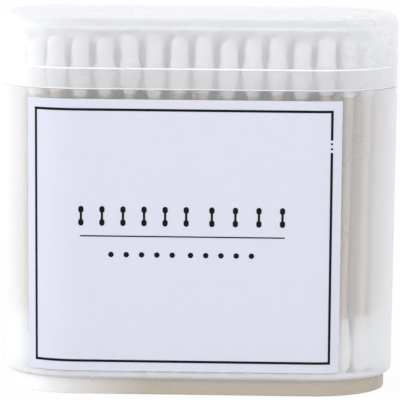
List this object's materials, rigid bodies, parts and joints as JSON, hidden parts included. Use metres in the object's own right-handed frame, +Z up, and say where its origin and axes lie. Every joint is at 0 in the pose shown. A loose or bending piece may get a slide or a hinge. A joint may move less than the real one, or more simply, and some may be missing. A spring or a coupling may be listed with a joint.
{
  "type": "cotton swab box",
  "caption": "Upright frosted plastic box with rounded ends, a lift-off lid and a wrapped paper label, packed with double-ended cotton swabs on wooden sticks.",
  "frame": {"origin": "on the standing surface under the middle of the box", "axes": "+X along the long front, to the right as the label is read; +Y from the labelled front to the back; +Z up"},
  "size_m": [0.088, 0.0465, 0.083],
  "materials": {
    "box_plastic": "satin",
    "lid_plastic": "satin",
    "label_paper": "satin",
    "black_ink": "satin",
    "stick_wood": "matte",
    "cotton": "matte"
  },
  "bodies": {
    "box": {"box_body": "box_plastic", "label": "label_paper", "label_frame": "black_ink", "label_signs": "black_ink", "swab_sticks_layer_1": "stick_wood", "swab_top_cotton_layer_1": "cotton", "swab_bottom_cotton_layer_1": "cotton", "swab_sticks_layer_2": "stick_wood", "swab_top_cotton_layer_2": "cotton", "swab_bottom_cotton_layer_2": "cotton", "swab_sticks_layer_3": "stick_wood", "swab_top_cotton_layer_3": "cotton", "swab_bottom_cotton_layer_3": "cotton", "swab_sticks_layer_4": "stick_wood", "swab_top_cotton_layer_4": "cotton", "swab_bottom_cotton_layer_4": "cotton"},
    "lid": {"lid": "lid_plastic"}
  },
  "joints": [
    {"name": "lid_lift", "type": "slide", "parent": "box", "child": "lid", "axis": [0, 0, 1], "range_m": [0, 0.04]}
  ]
}
